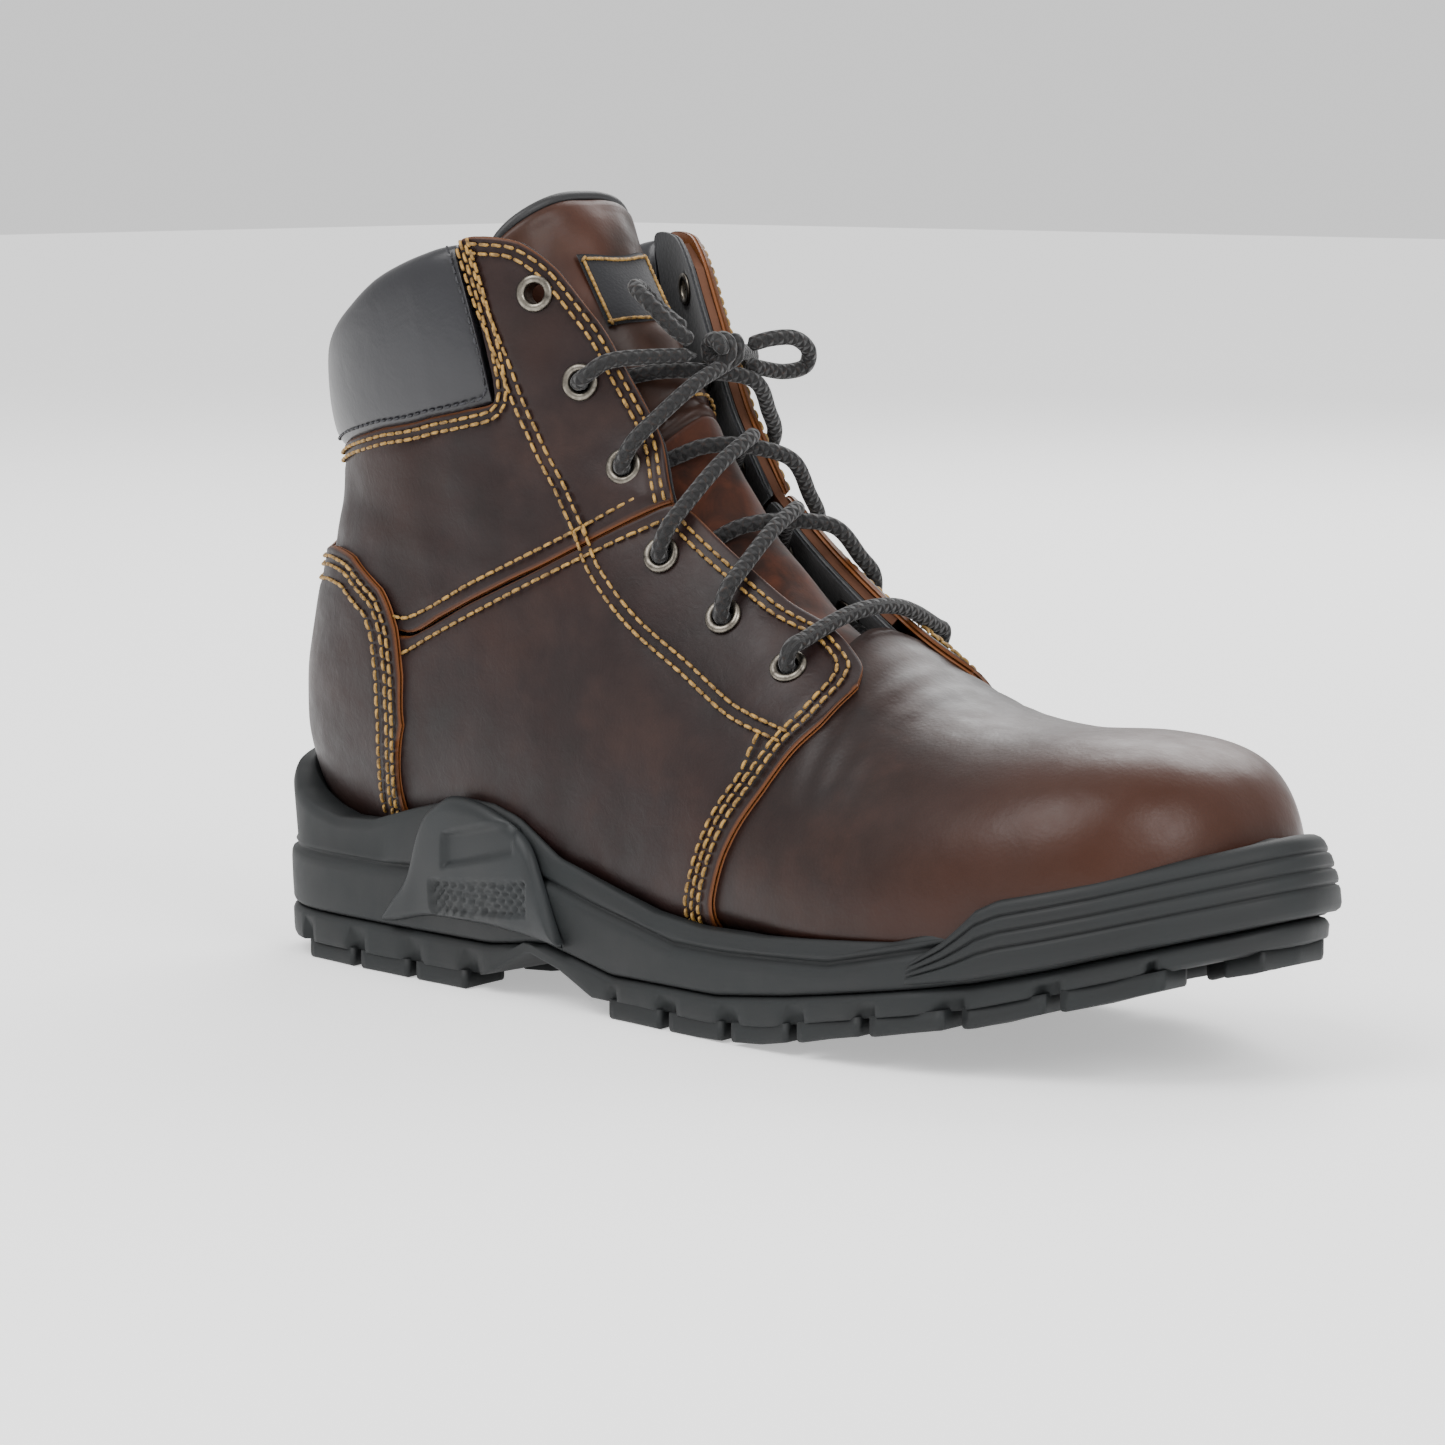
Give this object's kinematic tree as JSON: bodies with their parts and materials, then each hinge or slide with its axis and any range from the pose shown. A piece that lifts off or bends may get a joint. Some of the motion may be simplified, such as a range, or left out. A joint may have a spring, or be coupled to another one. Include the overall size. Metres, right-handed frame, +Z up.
{
  "type": "work boot",
  "caption": "Laced leather work boot for the right foot with a steel toe cap, padded collar, tilting tongue top, lift-out footbed and ribbed rubber cup sole.",
  "frame": {"origin": "on the ground under the middle of the sole's outline", "axes": "+X to the toe, +Z up, lateral side -Y"},
  "size_m": [0.3099, 0.1062, 0.1928],
  "materials": {
    "leather_brown": "oiled pull-up leather, soft sheen",
    "leather_toe": "oiled pull-up leather, redder and smoother over the toe",
    "suede_tongue": "napped tongue leather",
    "leather_inner": "natural edge leather",
    "collar_black": "coated black padded collar",
    "lining_dark": "dark knitted lining",
    "lining_tan": "non-woven lining",
    "gusset_black": "thin black gusset",
    "piping_black": "black piping",
    "patch_woven": "woven patch with a gold border",
    "rubber_sole": "matt black rubber",
    "rubber_bumper": "ribbed black rubber",
    "rubber_saddle": "satin grey-black stabiliser",
    "steel_shank": "spring steel",
    "steel_cap": "coated steel cap",
    "board": "fibre insole board",
    "footbed_foam": "foam footbed with a cloth cover",
    "counter_board": "thermoplastic stiffener",
    "strip_foam": "soft edge strip",
    "eyelet_nickel": "antique nickel",
    "lace_cord": "round woven cord with a fine fleck"
  },
  "bodies": {
    "boot": {"outsole": "rubber_sole", "tread_forefoot": "rubber_sole", "tread_heel": "rubber_sole", "midsole": "rubber_sole", "toe_bumper": "rubber_bumper", "arch_saddle": "rubber_saddle", "shank": "steel_shank", "insole_board": "board", "vamp": "leather_toe", "steel_toe_cap": "steel_cap", "cap_edge_strip": "strip_foam", "toe_lining": "lining_tan", "vamp_lining": "lining_tan", "quarter_lateral": "leather_brown", "quarter_medial": "leather_brown", "shaft_lateral": "leather_brown", "shaft_medial": "leather_brown", "facing_stay_lateral": "leather_inner", "facing_stay_medial": "leather_inner", "quarter_lining": "lining_dark", "shaft_lining": "lining_dark", "counter_cover": "leather_brown", "heel_counter": "counter_board", "collar_pad": "collar_black", "tongue_lower": "suede_tongue", "tongue_middle": "leather_brown", "tongue_lining_fixed": "lining_dark", "gusset_lateral": "gusset_black", "gusset_medial": "gusset_black", "eyelets": "eyelet_nickel", "lace": "lace_cord", "lace_knot": "lace_cord", "bow_loop_up": "lace_cord", "bow_loop_down": "lace_cord"},
    "tongue_flap": {"tongue_top": "leather_brown", "tongue_lining": "lining_dark", "tongue_patch": "patch_woven", "tongue_binding": "piping_black"},
    "footbed": {"footbed": "footbed_foam"}
  },
  "joints": [
    {"name": "tongue_tilt", "type": "hinge", "parent": "boot", "child": "tongue_flap", "pos_m": [-0.0645, 0, 0.1325], "axis": [0, -1, 0], "range_deg": [0, 16]},
    {"name": "footbed_lift", "type": "hinge", "parent": "boot", "child": "footbed", "pos_m": [0.138, 0, 0.034], "axis": [0, 1, 0], "range_deg": [0, 8]}
  ]
}
